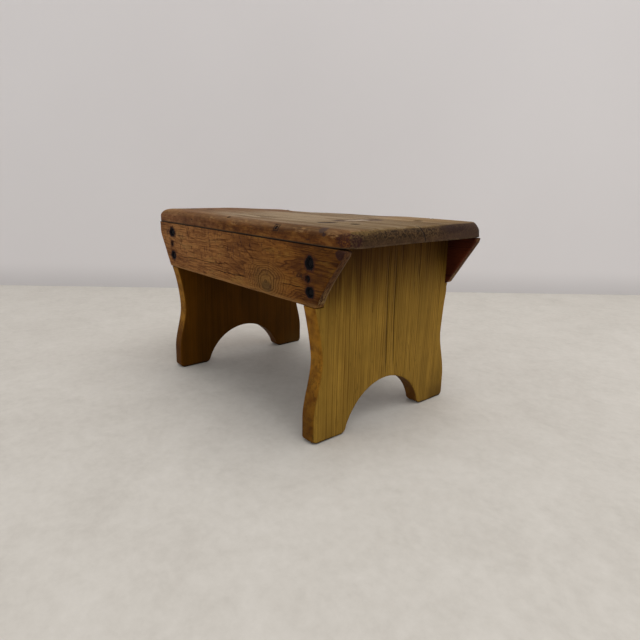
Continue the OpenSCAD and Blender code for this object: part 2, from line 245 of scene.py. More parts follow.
def arc(centre, r, a0, a1, steps):
    """Points of an arc, its two ends with it. Angles are in degrees."""
    a = np.radians(np.linspace(a0, a1, steps + 1))
    return np.stack([centre[0] + r * np.cos(a), centre[1] + r * np.sin(a)], 1)


def between(p, q, steps):
    """Points between p and q, without the two ends."""
    t = np.arange(1, steps)[:, None] / steps
    return np.array(p) + (np.array(q) - np.array(p)) * t


def stepped(line, step):
    """Points along a line of points, about a step apart, its two ends with it."""
    line = np.array(line, float)
    along = np.concatenate([[0], np.cumsum(np.linalg.norm(np.diff(line, axis=0), axis=1))])
    at = np.linspace(0, along[-1], max(3, int(along[-1] / step) + 1))
    return np.stack([np.interp(at, along, line[:, k]) for k in (0, 1)], 1)


def normals(ring):
    """Outward directions at the points of a counterclockwise ring, longer at sharp corners so
    that points moved along them keep the sides parallel."""
    side = np.roll(ring, -1, 0) - ring
    side = np.stack([side[:, 1], -side[:, 0]], 1) / np.linalg.norm(side, axis=1)[:, None]
    before = np.roll(side, 1, 0)
    return (side + before) / (1 + (side * before).sum(1))[:, None]


def corner_arc(before, p, after, r, step):
    """Points that round the corner p of an outline."""
    u = (before - p) / np.linalg.norm(before - p)
    v = (after - p) / np.linalg.norm(after - p)
    half = math.acos(float(u @ v)) / 2
    mid = (u + v) / np.linalg.norm(u + v)
    c = p + mid * r / math.sin(half)
    start = p + u * r / math.tan(half) - c
    a0 = math.degrees(math.atan2(start[1], start[0]))
    sweep = math.pi - 2 * half
    turn = math.copysign(math.degrees(sweep), u[1] * v[0] - u[0] * v[1])
    return arc(c, r, a0, a0 + turn, max(4, round(r * sweep / step)))


def rounded_polygon(corners, step):
    """Outline of points about a step apart through corners given as (x, z, radius)."""
    place = [np.array(c[:2], float) for c in corners]
    n = len(corners)
    arcs = [corner_arc(place[i - 1], place[i], place[(i + 1) % n], corners[i][2], 0.5 * step)
            for i in range(n)]
    ring = []
    for i in range(n):
        start, end = arcs[i][-1], arcs[(i + 1) % n][0]
        steps = max(2, round(np.linalg.norm(end - start) / step))
        ring += [arcs[i], between(start, end, steps)]
    return np.concatenate(ring)


def quarter(r, steps):
    """Steps in from the side and heights above the face along a rounded edge."""
    a = np.linspace(0, math.pi / 2, steps + 1)
    return list(zip(r * (1 - np.sin(a)), r * (1 - np.cos(a))))


def eased(ring, inward, first, last, steps, thick):
    """Rings and heights of a board whose two edges are rounded, each point by its own radius."""
    ease = quarter(1.0, steps)
    rings = [ring + inward * (first * i)[:, None] for i, _ in ease]
    rings += [ring] + [ring + inward * (last * i)[:, None] for i, _ in ease[::-1]]
    heights = [first * h for _, h in ease] + [np.full(len(ring), thick / 2)]
    return rings, heights + [thick - last * h for _, h in ease[::-1]]


def hex_points(low, high, step):
    """Points of a triangular lattice over a rectangle."""
    rows = np.arange(low[1], high[1], step * math.sqrt(0.75))
    points = []
    for k, y in enumerate(rows):
        x = np.arange(low[0] + (k % 2) * step / 2, high[0], step)
        points.append(joined(x, y))
    return np.concatenate(points)


def far_from(points, others, distance):
    """Which points keep that distance from all the others."""
    far = np.zeros(len(points), bool)
    for start in range(0, len(points), BATCH):
        part = slice(start, start + BATCH)
        gap = np.linalg.norm(points[part, None] - others[None], axis=2).min(1)
        far[part] = gap >= distance
    return far


def cut_points(line, half, depth, step=2.0):
    """Points of a narrow groove, the depth of each, and the edges that hold its form."""
    mid = stepped(line, step)
    way = np.gradient(mid, axis=0)
    way /= np.linalg.norm(way, axis=1)[:, None]
    across = np.stack([-way[:, 1], way[:, 0]], 1)
    t = np.linspace(0, 1, len(mid))
    taper = np.clip(9 * np.minimum(t, 1 - t), 0, 1)[:, None]
    wide = half * (0.4 + 0.6 * taper[1:-1])
    sides = [mid[1:-1] + s * across[1:-1] * wide for s in (-1, 1)]
    n, m = len(mid), len(mid) - 2
    edges = [(i, i + 1) for i in range(n - 1)]
    for k in (0, 1):
        first = n + k * m
        edges += [(0, first)] + [(first + i, first + i + 1) for i in range(m - 1)]
        edges.append((first + m - 1, n - 1))
    sink = np.concatenate([depth * taper[:, 0], np.zeros(2 * m)])
    return np.concatenate([mid] + sides), sink, edges


def fill(ring, step, fine, cuts):
    """Points, their depths, and triangles that fill a ring of points. fine lists discs as
    (x, y, radius, step), and cuts lists grooves as (line, half width, depth)."""
    points = hex_points(ring.min(0), ring.max(0), step)
    extra = []
    for x, y, r, fine_step in fine:
        here = hex_points((x - r, y - r), (x + r, y + r), fine_step)
        here = here[np.hypot(here[:, 0] - x, here[:, 1] - y) < r]
        points = points[np.hypot(points[:, 0] - x, points[:, 1] - y) > r + 0.4 * step]
        extra.append(here[far_from(here, ring, 0.7 * fine_step)])
    spacing = np.linalg.norm(ring - np.roll(ring, 1, 0), axis=1).mean()
    points = np.concatenate([points[far_from(points, ring, 0.5 * max(step, spacing))]] + extra)
    n = len(ring)
    edges = [(i, (i + 1) % n) for i in range(n)]
    grooves = [cut_points(*cut) for cut in cuts]
    for groove, _, _ in grooves:
        points = points[far_from(points, groove, 0.45 * step)]
    sink = [np.zeros(len(points))]
    for groove, depth, pairs in grooves:
        start = n + len(points)
        edges += [(start + i, start + j) for i, j in pairs]
        points = np.concatenate([points, groove])
        sink.append(depth)
    every = np.concatenate([ring, points])
    out = delaunay_2d_cdt([Vector(p) for p in every], edges, [], 1, 1e-6)
    source = [ids[0] for ids in out[3]]
    used = np.array([[source[i] for i in f] for f in out[2] if len(f) == 3])
    a, b, c = (every[used[:, k]] for k in range(3))
    area = (b[:, 0] - a[:, 0]) * (c[:, 1] - a[:, 1]) - (b[:, 1] - a[:, 1]) * (c[:, 0] - a[:, 0])
    used[area < 0] = used[area < 0][:, ::-1]
    return points, np.concatenate(sink), used


class Board:
    """Vertices and faces of a closed board, as (across, up, height).

    rings are closed lines of points from the first face to the last one, counterclockwise
    seen from the last face, and heights has a number or an array for each. out gives each
    vertex of a ring its outward direction, deep the depth of the groove that it lies in, and
    cap is -1 inside the first face, 1 inside the last and 0 on the rings.
    """

    def __init__(self, rings, heights, step, first=((), ()), last=((), ())):
        n = len(rings[0])
        parts = [joined(r, h) for r, h in zip(rings, heights)]
        self.faces = []
        for k in range(len(rings) - 1):
            i = np.arange(n)
            j = (i + 1) % n
            quads = np.column_stack([k * n + i, k * n + j, (k + 1) * n + j, (k + 1) * n + i])
            self.faces += quads.tolist()
        outward = normals(rings[len(rings) // 2])
        out = [outward] * len(rings)
        deep = [np.zeros(n * len(rings))]
        cap = [np.zeros(n * len(rings))]
        count = n * len(rings)
        for k, (fine, cuts), side in ((0, first, -1), (len(rings) - 1, last, 1)):
            points, sink, triangles = fill(rings[k], step, fine, cuts)
            ids = np.concatenate([k * n + np.arange(n), count + np.arange(len(points))])
            triangles = ids[triangles]
            self.faces += (triangles[:, ::-1] if side < 0 else triangles).tolist()
            parts.append(joined(points, float(np.mean(heights[k]))))
            out.append(np.zeros((len(points), 2)))
            deep.append(sink)
            cap.append(np.full(len(points), float(side)))
            count += len(points)
        self.verts = np.concatenate(parts)
        self.out = np.concatenate(out)
        self.deep = np.concatenate(deep)
        self.cap = np.concatenate(cap)


def make_piece(name, verts, faces, masks, sharp=50):
    """Mesh object with smooth faces, sharp edges over an angle, and masks as attributes."""
    mesh = bpy.data.meshes.new(name)
    mesh.from_pydata((verts * MM).tolist(), [], faces)
    mesh.validate()
    mesh.shade_smooth()
    mesh.set_sharp_from_angle(angle=math.radians(sharp))
    for key, values in masks.items():
        layer = mesh.attributes.new(key, "FLOAT", "POINT")
        layer.data.foreach_set("value", np.asarray(values, np.float32))
    piece = bpy.data.objects.new(name, mesh)
    bpy.context.scene.collection.objects.link(piece)
    return piece


def hollow(flat, spots, r, depth, seed, tear=0.0):
    """Depth of ragged punched hollows at points in a plane, and how near each point is to one.
    r is their radius, or half the width and half the height of each. tear draws the upper side
    of each hollow out to a point."""
    sink = np.zeros(len(flat))
    near = np.zeros(len(flat))
    for k, spot in enumerate(spots):
        d = (flat - np.array(spot)) / np.broadcast_to(r, (len(spots), 2))[k]
        angle = np.arctan2(d[:, 1], d[:, 0])
        ragged = joined(np.column_stack([np.cos(angle), np.sin(angle)]) * 1.6, 5.0 * k)
        wide = 1 + 0.17 * rough_noise(ragged, 1, seed)
        wide += tear * np.maximum(0, np.sin(angle)) ** 4
        reach = np.hypot(d[:, 0], d[:, 1]) / wide
        sink = np.maximum(sink, depth * (1 - fade(reach, 0.74, 1.04)))
        near = np.maximum(near, 1 - fade(reach, 0.9, 2.0))
    return sink, near


# The worn top

def stations(low, high, spots):
    """Places along a long edge of the top, closer together beside its nails."""
    tiny, near_step, far_step = 0.1, 0.75, 2.4
    x = np.arange(low, high, tiny)
    near = np.abs(x[:, None] - np.array(spots)).min(1) < 7.0
    rate = np.cumsum(tiny / np.where(near, near_step, far_step))
    count = int(rate[-1])
    return np.interp(np.arange(1, count) / count * rate[-1], rate, x)


EDGE_SPAN = (LEFT_CORNER_R + 1.5 * EDGE_R + 0.3 - HALF_LEN, HALF_LEN - RIGHT_CORNER_R)
FRONT_STATIONS = stations(*EDGE_SPAN, [x for x, _ in FRONT_EDGE])
REAR_STATIONS = stations(*EDGE_SPAN, [x for x, _ in REAR_EDGE])


def top_outline(inset):
    """Outline of the top in X and Y, stepped in from its edge."""
    x, y = HALF_LEN - inset, HALF_DEPTH - inset
    right = max(RIGHT_CORNER_R - inset, 0.5)
    left = LEFT_CORNER_R + 0.5 * inset
    return np.concatenate([
        arc((x - right, right - y), right, -90, 0, 14),
        between((x, right - y), (x, y - right), 70),
        arc((x - right, y - right), right, 0, 90, 14),
        joined(REAR_STATIONS[::-1], y),
        arc((left - x, y - left), left, 90, 180, 12),
        between((-x, y - left), (-x, left - y), 84),
        arc((left - x, left - y), left, 180, 270, 12),
        joined(FRONT_STATIONS, -y),
    ])


def top_drop(y):
    """How much lower the long edges of the top are than its middle."""
    t = np.maximum(0, (np.abs(y) - LEVEL_HALF) / (HALF_DEPTH - LEVEL_HALF))
    return CROWN * t * t


def top_warp(x, y):
    """How far the worn upper face lies above or below its even crown."""
    rear = np.interp(x, REAR_X, REAR_SHIFT) * fade(y, -10, 80)
    front = 0.9 * fade(x, 0, -140) * fade(y, -60, -98)
    return rear + front


def rounded_part(y):
    """0 on the face of the top and 1 at its long sides, going up over the worn upper edge."""
    return np.clip((np.abs(y) - HALF_DEPTH + EDGE_R) / EDGE_R, 0, 1)


def laid(y):
    """Place across the top at y, measured along its face and worn edge."""
    part = rounded_part(y)
    over = HALF_DEPTH - EDGE_R + EDGE_R * np.arcsin(part)
    return np.sign(y) * np.where(part > 0, over, np.abs(y))


def top_face_at(x, y):
    """Height of the worn upper face at a point."""
    inset = min(HALF_DEPTH - abs(y), EDGE_R)
    up = TOP_T - EDGE_R + math.sqrt(EDGE_R**2 - (EDGE_R - inset) ** 2)
    worn = float(top_warp(np.array(x), np.array(y)) - top_drop(np.array(y)))
    return min(UNDERSIDE + up + worn * up / TOP_T, TOP_FACE)


def make_top():
    """The top: its worn form, its holes and the masks for its colours."""
    lower = quarter(LOWER_R, 4)
    upper = [(EDGE_R * (1 - math.cos(a)), TOP_T - EDGE_R + EDGE_R * math.sin(a))
             for a in np.linspace(0, math.pi / 2, 17)]
    levels = lower + [tuple(p) for p in between(lower[-1], upper[0], 4)] + upper
    discs = [(x, y, 7.0, FINE_STEP) for x, y in BOARD_NAILS]
    board = Board([top_outline(i) for i, _ in levels], [h for _, h in levels], TOP_STEP,
                  last=(discs, TOP_CUTS))
    verts, out = board.verts, board.out
    h = verts[:, 2].copy()
    high = h / TOP_T
    on_ring = board.cap == 0
    level = board.cap > 0
    upper_side = level | (h > TOP_T - EDGE_R - 0.01)
    flat = np.column_stack([verts[:, 0], laid(verts[:, 1])])
    holes = [(BOARD_NAILS, *BOARD_HOLE, 11, 1.0), (REAR_EDGE, *REAR_HOLE, 13, 0.7)]
    holes += [([place], r, deep, 12 + k, 1.0) for k, place, r, deep in FRONT_HOLES]
    sink = near = np.zeros(len(flat))
    for spots, r, deep, seed, dark in holes:
        sunk, close = hollow(flat, [(x, laid(y)) for x, y in spots], r, deep, seed)
        sink, near = np.maximum(sink, sunk * upper_side), np.maximum(near, dark * close * upper_side)
    across = flat - np.array((RING_AT[0], laid(RING_AT[1])))
    square = np.abs(across).max(1) + 0.5 * rough_noise(verts, 4, 15)
    ring = (1 - fade(np.abs(square - 3.3), 0.3, 1.1)) * upper_side
    # Angle round the worn upper edge, from 0 on the face to a right angle on the side
    steep = np.arcsin(rounded_part(verts[:, 1])) * on_ring
    worn = TOP_WEAR * wear_noise(verts, (38, 38, 14), 61)
    edge_wear = np.where(on_ring, worn * fade(high, 0.0, 0.35), 0)
    edge_wear *= fade(verts[:, 0], -177, -150)
    right_corner = fade(verts[:, 0], 150, 176) * fade(np.abs(verts[:, 1]), 70, 98)
    edge_wear += np.where(on_ring, right_corner * (0.5 + 1.9 * fade(high, 0.3, 0.95)), 0)
    verts[:, :2] -= out * (edge_wear + sink * np.sin(steep))[:, None]
    x, y = verts[:, 0], verts[:, 1]
    z = UNDERSIDE + h + (top_warp(x, y) - top_drop(y)) * high
    # The right rear corner is worn down
    z -= 2.4 * fade(x, 164, 177) * fade(y, 80, 97) * high
    z = np.minimum(z, TOP_FACE) - sink * np.cos(steep) - board.deep * level
    z -= TOP_RELIEF * wear_noise(verts, (120, 16, 50), 62) * upper_side
    lift = fade(x, 120, HALF_LEN) * (LIFT_CORNER + LIFT_MIDDLE * (1 - (y / HALF_DEPTH) ** 2))
    lift += LIFT_REAR * fade(x, 110, 172) * fade(y, 40, 95)
    z += lift * (1 - high) ** 1.5
    verts[:, 2] = z
    masks = {
        "stain": near,
        "ring": ring,
        "cut": np.clip(board.deep, 0, 1) * level,
        "side": np.where(on_ring, 1 - fade(high, 0.42, 0.98), np.where(level, 0, 1)),
        "end": np.where(on_ring, fade(np.abs(out[:, 0]), 0.55, 0.95), 0) * fade(high, 1.0, 0.82),
        "below": np.where(board.cap < 0, 1.0, np.where(on_ring, fade(h, 2.5, 0.4), 0)),
    }
    return make_piece("worn_top", verts, board.faces, masks)


# The aprons

def make_apron(name, corners, turn, large, small, cracks, seed):
    """An apron through corners given as (x, z, radius). turn is 1 for the front and -1 for
    the rear one."""
    ring = rounded_polygon(corners, 2.4)
    outward = normals(ring)
    under_top = fade(ring[:, 1], UNDERSIDE - 5, UNDERSIDE - 1)
    points = joined(ring, seed)
    wear = APRON_WEAR * wear_noise(points, 30, seed) * (1 - under_top)
    wear *= fade(ring[:, 0], -179, -150)
    ring = ring - outward * wear[:, None]
    r = APRON_EASE * (1 - 0.75 * under_top) * (1 + 0.3 * rough_noise(points, 20, seed + 1))
    rings, heights = eased(ring, -outward, r, r, 4, APRON_T)
    discs = [(x, z, 9.5, FINE_STEP) for x, z in large] + [(x, z, 5.5, 0.6) for x, z in small]
    face = (discs, [(line, CRACK_HALF, CRACK_DEPTH) for line in cracks])
    board = Board(rings, heights, APRON_STEP, **{"last" if turn > 0 else "first": face})
    verts = board.verts
    on_face = (board.cap * turn > 0) | (turn * (verts[:, 2] - APRON_T / 2) > APRON_T * 0.3)
    sink, near = hollow(verts[:, :2], large, NAIL_HOLES, NAIL_HOLE_DEPTH, seed, tear=0.16)
    sink_small, near_small = hollow(verts[:, :2], small, *BRAD_HOLE, seed + 5)
    sink = np.maximum(np.maximum(sink, sink_small), board.deep) * on_face
    relief = APRON_RELIEF * wear_noise(verts, (60, 7, 30), seed + 9) * on_face
    placed = verts.copy()
    inner = -APRON_IN if turn > 0 else HALF_DEPTH
    placed[:, 1] = inner - verts[:, 2] + turn * (sink + relief)
    placed[:, 2] = verts[:, 1]
    on_ring = board.cap == 0
    half = APRON_T / 2
    rim = np.where(on_ring, fade(np.abs(verts[:, 2] - half), half, half - 1.6), 0)
    masks = {"stain": np.maximum(near, 0.8 * near_small) * on_face,
             "cut": np.clip(board.deep, 0, 1), "rim": rim}
    return make_piece(name, placed, board.faces, masks)


# The end boards

def waist_edge(inset, shoulder_y, shoulder_z, waist_in, reach, sweep):
    """Free edge of an end board at positive Y, from the shoulder down to the foot."""
    waist = HALF_DEPTH - waist_in
    t = 1 - np.arange(27) / 26
    moved = inset * (1 - (1 - SHOULDER_SHARE) * t**3)
    upper = np.stack([waist - moved + (shoulder_y - waist) * t**sweep,
                      WAIST_Z + (shoulder_z - WAIST_Z) * t], 1)
    t = np.arange(1, 27) / 26
    swing = (1 - np.cos(np.pi * t)) / 2
    lower = np.stack([waist - inset + (waist_in + reach) * swing,
                      WAIST_Z + (FLARE_Z - WAIST_Z) * t], 1)
    return np.concatenate([upper, lower])


def foot_corner(c, r, a0, a1, in0, in1):
    """Round corner of a foot, stepped in by in0 at its start and in1 at its end."""
    t = np.arange(11) / 10
    a = np.radians(a0 + (a1 - a0) * t)
    near = r - in0 - (in1 - in0) * t
    return np.stack([c[0] + near * np.cos(a), c[1] + near * np.sin(a)], 1)


def foot_edge(inset, arch, side, reach):
    """Both corners of one foot, from its outer side to the start of the arch."""
    high, r, shift = arch
    up = ARCH_FOOT_R + r - high
    c = (math.sqrt((r + ARCH_FOOT_R) ** 2 - up * up), ARCH_FOOT_R)
    lean = math.degrees(math.atan2(-up, -c[0]))
    sole = inset * SOLE_SHARE
    outer = foot_corner((HALF_DEPTH + reach - FOOT_R, FOOT_R), FOOT_R, 0, -90, inset, sole)
    inner = foot_corner((c[0] + side * shift, c[1]), ARCH_FOOT_R, -90, lean, sole, inset)
    return np.concatenate([outer, between(outer[-1], inner[0], 12), inner])


def arch_edge(inset, arch):
    """The arch between the feet, from the front one to the rear one."""
    high, r, shift = arch
    up = ARCH_FOOT_R + r - high
    start = math.degrees(math.atan2(up, math.sqrt((r + ARCH_FOOT_R) ** 2 - up * up)))
    return arc((shift, high - r), r + inset, 180 - start, start, 70)[1:-1]


def leg_outline(inset, shape):
    """Outline of an end board in Y and Z, from the front shoulder down and round."""
    flip = np.array([-1.0, 1.0])
    arch, waist = shape["arch"], shape["waist"]
    reach, sweep = shape["out"], shape["sweep"]
    front = waist_edge(inset, HALF_DEPTH, FRONT_SHOULDER, waist, reach[0], sweep[0]) * flip
    front_foot = foot_edge(inset, arch, -1, reach[0]) * flip
    rear_foot = foot_edge(inset, arch, 1, reach[1])[::-1]
    rear = waist_edge(inset, HALF_DEPTH - REAR_SHOULDER_IN, REAR_SHOULDER, WAIST_IN, reach[1],
                      sweep[1])[::-1]
    corners = [(APRON_IN, REAR_SHOULDER), (APRON_IN, UNDERSIDE), (-APRON_IN, UNDERSIDE),
               (-APRON_IN, FRONT_SHOULDER)]
    notch = [np.array([corners[0]])]
    for p, q, steps in zip(corners, corners[1:], (24, 80, 24)):
        notch += [between(p, q, steps), np.array([q])]
    return np.concatenate([front, front_foot, arch_edge(inset, arch), rear_foot, rear] + notch)


def make_leg(name, x, shape, outer, front_ease, lines, seed):
    """An end board from x to the right. outer is 1 where its last face looks out of the
    stool, and front_ease is the radius of the front edge on that side."""
    ring = leg_outline(0.0, shape)
    inward = leg_outline(1.0, shape) - ring
    y, z = ring[:, 0], ring[:, 1]
    points = joined(ring, seed)
    wear = LEG_WEAR * wear_noise(points, 26, seed)
    if lines:
        # A nick in the rear edge, and the wood that stands out below it
        broken = np.exp(-((z - 133.5) / 2.0) ** 2) * 1.8 - np.exp(-((z - 124.0) / 5.0) ** 2) * 0.7
        wear = wear + np.where(y > 60, broken, 0)
    ring = ring + inward * wear[:, None]
    front = fade(y, -40, -80) * (z < FRONT_SHOULDER + 1)
    small = 2.0 + 0.4 * rough_noise(points, 20, seed + 1)
    wide = small + (front_ease - small) * front
    rings, heights = eased(ring, inward, *((small, wide) if outer > 0 else (wide, small)), 6, LEG_T)
    grooves = [(line, LINE_HALF, DEEP_LINE) for line in lines[:2]]
    grooves += [(line, LINE_HALF, FINE_LINE) for line in lines[2:]]
    board = Board(rings, heights, LEG_STEP, last=((), grooves))
    verts = board.verts
    on_ring = board.cap == 0
    half = LEG_T / 2
    face = np.where(on_ring, np.clip((verts[:, 2] - half) / half, -1, 1), board.cap) * outer
    on_edge = np.where(on_ring, fade(np.abs(verts[:, 2] - half), half, half - 2.2), 0)
    relief = LEG_RELIEF * wear_noise(verts, (4, 90, 30), seed + 9)
    verts[:, 2] -= np.sign(board.cap) * (relief + board.deep)
    placed = np.column_stack([x + verts[:, 2], verts[:, 0], verts[:, 1]])
    masks = {"cut": np.clip(1.6 * board.deep, 0, 1), "rim": on_edge, "outer": face}
    return make_piece(name, placed, board.faces, masks)


# The nails

def make_nails(name, spots, axis, size, seed):
    """Forged nails. spots are the middles of their crowns, and axis points out of the wood."""
    length, head_d, shank_w = size
    n = 20
    pairs = [(i, (i + 1) % n) for i in range(n)]
    turn = np.arange(n) / n * 2 * math.pi
    circle = np.column_stack([np.cos(turn), np.sin(turn)])
    square = circle / np.maximum(np.abs(circle[:, 0]), np.abs(circle[:, 1]) / 0.7)[:, None]
    # Share of the head's width, or width of the shank, and height
    profile = [(0.30, 0.0), (0.62, -0.18), (0.88, -0.45), (1.0, -0.8), (0.9, -1.6)]
    shank = [(shank_w, -1.65), (shank_w * 0.75, -length * 0.6), (shank_w * 0.45, -length)]
    verts, faces = [], []
    basis = np.array(Vector(axis).to_track_quat("Z", "Y").to_matrix())
    for k, spot in enumerate(spots):
        base = len(verts)
        reach = head_d / 2 * (0.92 + 0.08 * rough_noise(joined(circle, 3.0 * k), 0.7, seed, 2))
        rings = [joined((reach * s)[:, None] * circle, z) for s, z in profile]
        rings += [joined(w / 2 * square, z) for w, z in shank]
        local = np.concatenate(rings + [np.array([[0, 0, 0.06], [0, 0, -length]])])
        verts += (local @ basis.T + np.array(spot)).tolist()
        low = base + (len(rings) - 1) * n
        for start in range(base, low, n):
            faces += [[start + j, start + i, start + n + i, start + n + j] for i, j in pairs]
        for i, j in pairs:
            faces += [[base + i, base + j, low + n], [low + j, low + i, low + n + 1]]
    return make_piece(name, np.array(verts), faces, {}, sharp=40)


def sign(operation):
    """A method that joins two values by a math node."""
    return lambda a, b: a.paint.math(operation, a, b)


class Value:
    """Something that varies over a surface. A number takes signs, abs() and fade()."""

    def __init__(self, paint, socket):
        self.paint, self.socket = paint, socket

    __add__, __sub__, __mul__, __truediv__ = map(sign, ("ADD", "SUBTRACT", "MULTIPLY", "DIVIDE"))

    def __rsub__(self, other):
        return self.paint.math("SUBTRACT", other, self)

    def __abs__(self):
        return self.paint.math("ABSOLUTE", self)

    def fade(self, start, end, low=0.0, high=1.0):
        """Goes smoothly from low where this is start to high where it is end."""
        return self.paint.add("MapRange", {0: self, 1: start, 2: end, 3: low, 4: high},
                              interpolation_type="SMOOTHSTEP")


class Paint:
    """Builds a material out of nodes. An input is a number, a colour or a Value.

    x, y and z are the place in millimetres, and colour is what the surface has so far.
    """

    def __init__(self, name):
        self.material = bpy.data.materials.new(name)
        self.material.use_nodes = True
        self.tree = self.material.node_tree
        self.tree.nodes.clear()
        self.place = self.add("TexCoord", out="Object")
        parts = self.node("SeparateXYZ", {0: self.scaled((1 / MM,) * 3)}).outputs
        self.x, self.y, self.z = (Value(self, part) for part in parts)

    def node(self, kind, inputs=None, **settings):
        node = self.tree.nodes.new("ShaderNode" + kind)
        for key, value in settings.items():
            setattr(node, key, value)
        for key, value in (inputs or {}).items():
            if isinstance(value, Value):
                self.tree.links.new(value.socket, node.inputs[key])
            else:
                node.inputs[key].default_value = value
        return node

    def add(self, kind, inputs=None, out=0, **settings):
        return Value(self, self.node(kind, inputs, **settings).outputs[out])

    def math(self, operation, a, b=0.0, c=0.0):
        return self.add("Math", {0: a, 1: b, 2: c}, operation=operation)

    def most(self, first, *others):
        for value in others:
            first = self.math("MAXIMUM", first, value)
        return first

    def scaled(self, factors):
        """The place, with each axis multiplied."""
        return self.add("VectorMath", {0: self.place, 1: factors}, operation="MULTIPLY")

    def noise(self, period, detail=3.0, roughness=0.6, distortion=0.0):
        """Noise from about 0 to 1. period is in millimetres along each axis."""
        at = self.scaled(tuple(1 / (MM * p) for p in period))
        return self.add("TexNoise", {"Vector": at, "Scale": 1.0, "Detail": detail,
                                     "Roughness": roughness, "Distortion": distortion})

    def spot(self, at, size):
        """1 at a place and 0 from a distance on. A size of None leaves that axis out."""
        total = 0.0
        for value, middle, reach in zip((self.x, self.y, self.z), at, size):
            if reach:
                part = (value - middle) / reach
                total = self.math("MULTIPLY_ADD", part, part, total)
        return total.fade(1.0, 0.15)

    def mask(self, name):
        return self.add("Attribute", out="Fac", attribute_name=name)

    def steps(self, value, *stops):
        """Colour at a value, from stops of (place, colour)."""
        node = self.node("ValToRGB", {0: value})
        elements = node.color_ramp.elements
        for k, (place, colour) in enumerate(stops):
            stop = elements[k] if k < 2 else elements.new(place)
            stop.position = place
            stop.color = (*colour, 1.0)
        return Value(self, node.outputs[0])

    def mix(self, amount, a, b, how="MIX"):
        a, b = ((*c, 1.0) if isinstance(c, tuple) else c for c in (a, b))
        return self.add("Mix", {0: amount, 6: a, 7: b}, 2, data_type="RGBA", blend_type=how)

    def shade(self, colour, amount):
        grey = self.add("CombineXYZ", {0: amount, 1: amount, 2: amount})
        return self.mix(1.0, colour, grey, "MULTIPLY")

    def coat(self, amount, tone):
        """Lays a tone over the surface's colour."""
        self.colour = self.mix(amount, self.colour, tone)

    def rings(self, count, start):
        """Dark lines at the end of each growth ring, some stronger than others."""
        part = self.math("FRACT", count)
        chance = self.add("TexWhiteNoise", {"W": self.math("FLOOR", count)}, noise_dimensions="1D")
        return part.fade(start, 0.88) * part.fade(1.0, 0.95) * chance.fade(0.0, 1.0, 0.25, 1.0)

    def finish(self, roughness, height=None, bump=0.5, distance=0.0003, specular=0.5):
        inputs = {"Base Color": self.colour, "Roughness": roughness, "Specular IOR Level": specular}
        if height:
            inputs["Normal"] = self.add("Bump", {"Strength": bump, "Distance": distance,
                                                 "Height": height})
        self.node("OutputMaterial", {"Surface": self.add("BsdfPrincipled", inputs)})
        return self.material


def tinted(tone, *factors):
    """A tone with its red, green and blue multiplied, or all three by one factor."""
    return tuple(c * k for c, k in zip(tone, factors * 3 if len(factors) == 1 else factors))


HOLE_BLACK = (0.006, 0.005, 0.006)
# Dark marks on the top: place in X and Y, turn, half length, half width and darkness
TOP_MARKS = [((102.7, -56.8), 0.70, 10.5, 6.0, 0.97), ((-166.0, -57.0), 0.85, 6.5, 4.0, 0.8)]
# Places and sizes of patches of golden flecks on the worn front edge of the top
GOLD_FLECKS = [((3.0, -98.6, 201.6), (9.0, 5.0, 4.0)), ((18.0, -96.0, 204.0), (12.0, 5.0, 3.0)),
               ((-48.0, -98.0, 202.2), (10.0, 4.0, 3.0)), ((112.0, -97.8, 202.3), (16.0, 4.5, 3.2)),
               ((158.0, -98.6, 201.8), (11.0, 5.0, 4.0))]


